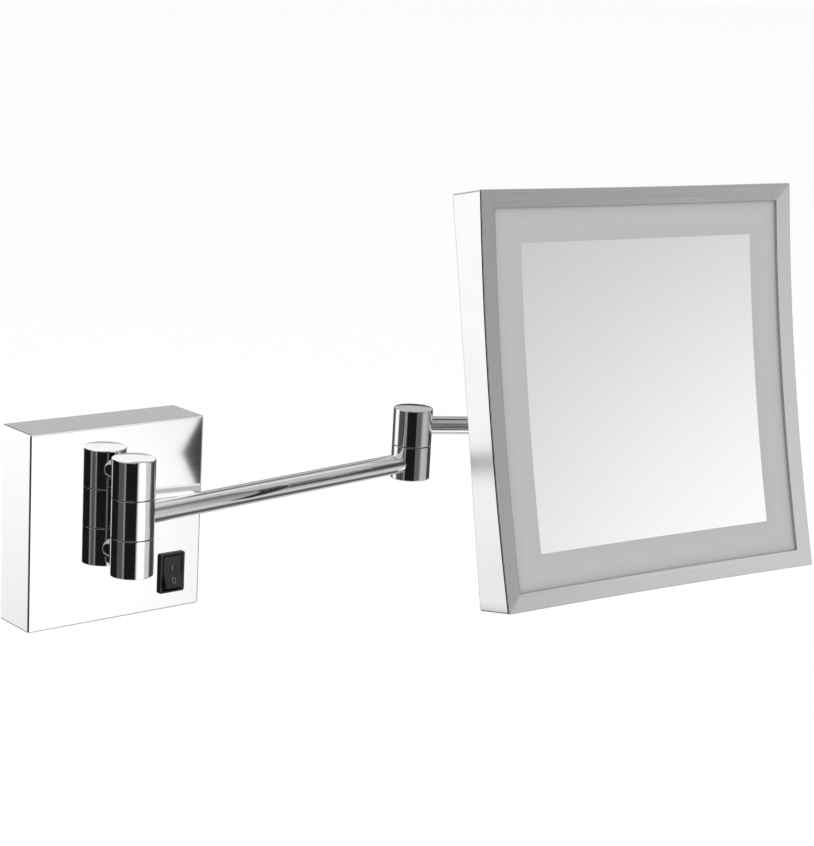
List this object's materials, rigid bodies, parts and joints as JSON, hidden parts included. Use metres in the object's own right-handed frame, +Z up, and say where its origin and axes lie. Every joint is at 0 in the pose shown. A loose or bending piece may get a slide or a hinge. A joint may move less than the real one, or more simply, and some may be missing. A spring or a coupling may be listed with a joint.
{
  "type": "lit swing-arm shaving mirror",
  "caption": "Wall-mounted square magnifying mirror with a lit border, on a swing arm with an elbow, a swivel and a tilt hinge, wired from a square wall box with a rocker switch.",
  "frame": {"origin": "middle of the wall box's back face, on the wall", "axes": "+Z up, +X to the right along the wall as seen from the room, +Y into the wall; the room is at -Y"},
  "size_m": [0.4464, 0.1547, 0.2205],
  "materials": {
    "polished_chrome": "polished chrome plate",
    "plain_steel": "bright zinc-plated steel",
    "zinc_steel": "satin zinc-plated sheet",
    "tray_metal": "plain sheet aluminium",
    "soft_black": "matt black rubber",
    "switch_black": "satin black switch plastic",
    "white_plastic": "moulded white plastic",
    "contact_brass": "tinned brass",
    "washer_plastic": "dark acetal",
    "wire_sheath": "grey wire sheath",
    "brushed_bezel": "brushed grey metal",
    "mirror_glass": "silvered glass with an etched border",
    "opal_plastic": "opal diffusing plastic",
    "board_white": "white circuit board",
    "led_yellow": "phosphor-coated chips"
  },
  "bodies": {
    "wall_unit": {"wall_bracket": "zinc_steel", "wall_cover": "polished_chrome", "cover_screws": "plain_steel", "cable_grommet": "soft_black", "led_driver": "white_plastic", "driver_screws": "plain_steel", "terminal_block": "white_plastic", "terminal_screws": "plain_steel", "switch_housing": "switch_black", "rocker_pin": "plain_steel", "switch_terminals": "contact_brass", "fixed_knuckle_top": "polished_chrome", "fixed_knuckle_bottom": "polished_chrome", "wall_cap_top": "polished_chrome", "wall_cap_bottom": "polished_chrome", "wall_pivot_pin": "plain_steel", "wall_pivot_nut": "plain_steel", "wall_pivot_washers": "washer_plastic", "knuckle_bolts": "plain_steel"},
    "rocker": {"rocker_button": "switch_black"},
    "arm": {"arm_knuckle": "polished_chrome", "arm_tube": "polished_chrome", "arm_wire": "wire_sheath", "elbow_knuckle_lower": "polished_chrome", "elbow_cap_bottom": "polished_chrome", "elbow_pin": "plain_steel", "elbow_nut": "plain_steel", "elbow_washer": "washer_plastic"},
    "link": {"elbow_knuckle_upper": "polished_chrome", "elbow_cap_top": "polished_chrome", "link_rod": "polished_chrome", "link_wire": "wire_sheath", "head_knuckle_lower": "polished_chrome", "swivel_cap_bottom": "polished_chrome", "swivel_pin": "plain_steel", "swivel_nut": "plain_steel", "swivel_washer": "washer_plastic"},
    "swivel": {"head_knuckle_upper": "polished_chrome", "swivel_cap_top": "polished_chrome", "tilt_lug": "polished_chrome"},
    "head": {"tilt_bracket": "plain_steel", "tilt_pin": "plain_steel", "tilt_nut": "plain_steel", "tilt_washers": "washer_plastic", "bracket_screws": "plain_steel", "back_shell": "polished_chrome", "front_bezel": "brushed_bezel", "mirror_glass": "mirror_glass", "glass_gasket": "soft_black", "inner_tray": "tray_metal", "led_boards": "board_white", "led_chips": "led_yellow", "light_diffuser": "opal_plastic"}
  },
  "joints": [
    {"name": "arm_swing", "type": "hinge", "parent": "wall_unit", "child": "arm", "pos_m": [0, -0.0405, 0.0064], "axis": [0, 0, 1], "range_deg": [-195, 1]},
    {"name": "elbow_swing", "type": "hinge", "parent": "arm", "child": "link", "pos_m": [0.1995, -0.016, 0.0064], "axis": [0, 0, 1], "range_deg": [-39, 111]},
    {"name": "head_swivel", "type": "hinge", "parent": "link", "child": "swivel", "pos_m": [0.2878, -0.06295, 0.0274], "axis": [0, 0, 1], "range_deg": [-5, 139]},
    {"name": "head_tilt", "type": "hinge", "parent": "swivel", "child": "head", "pos_m": [0.286, -0.08287, 0.053], "axis": [0.996, -0.0898, 0], "range_deg": [-18, 32]},
    {"name": "rocker_press", "type": "hinge", "parent": "wall_unit", "child": "rocker", "pos_m": [0.0326, -0.026, -0.0307], "axis": [1, 0, 0], "range_deg": [0, 24]}
  ]
}
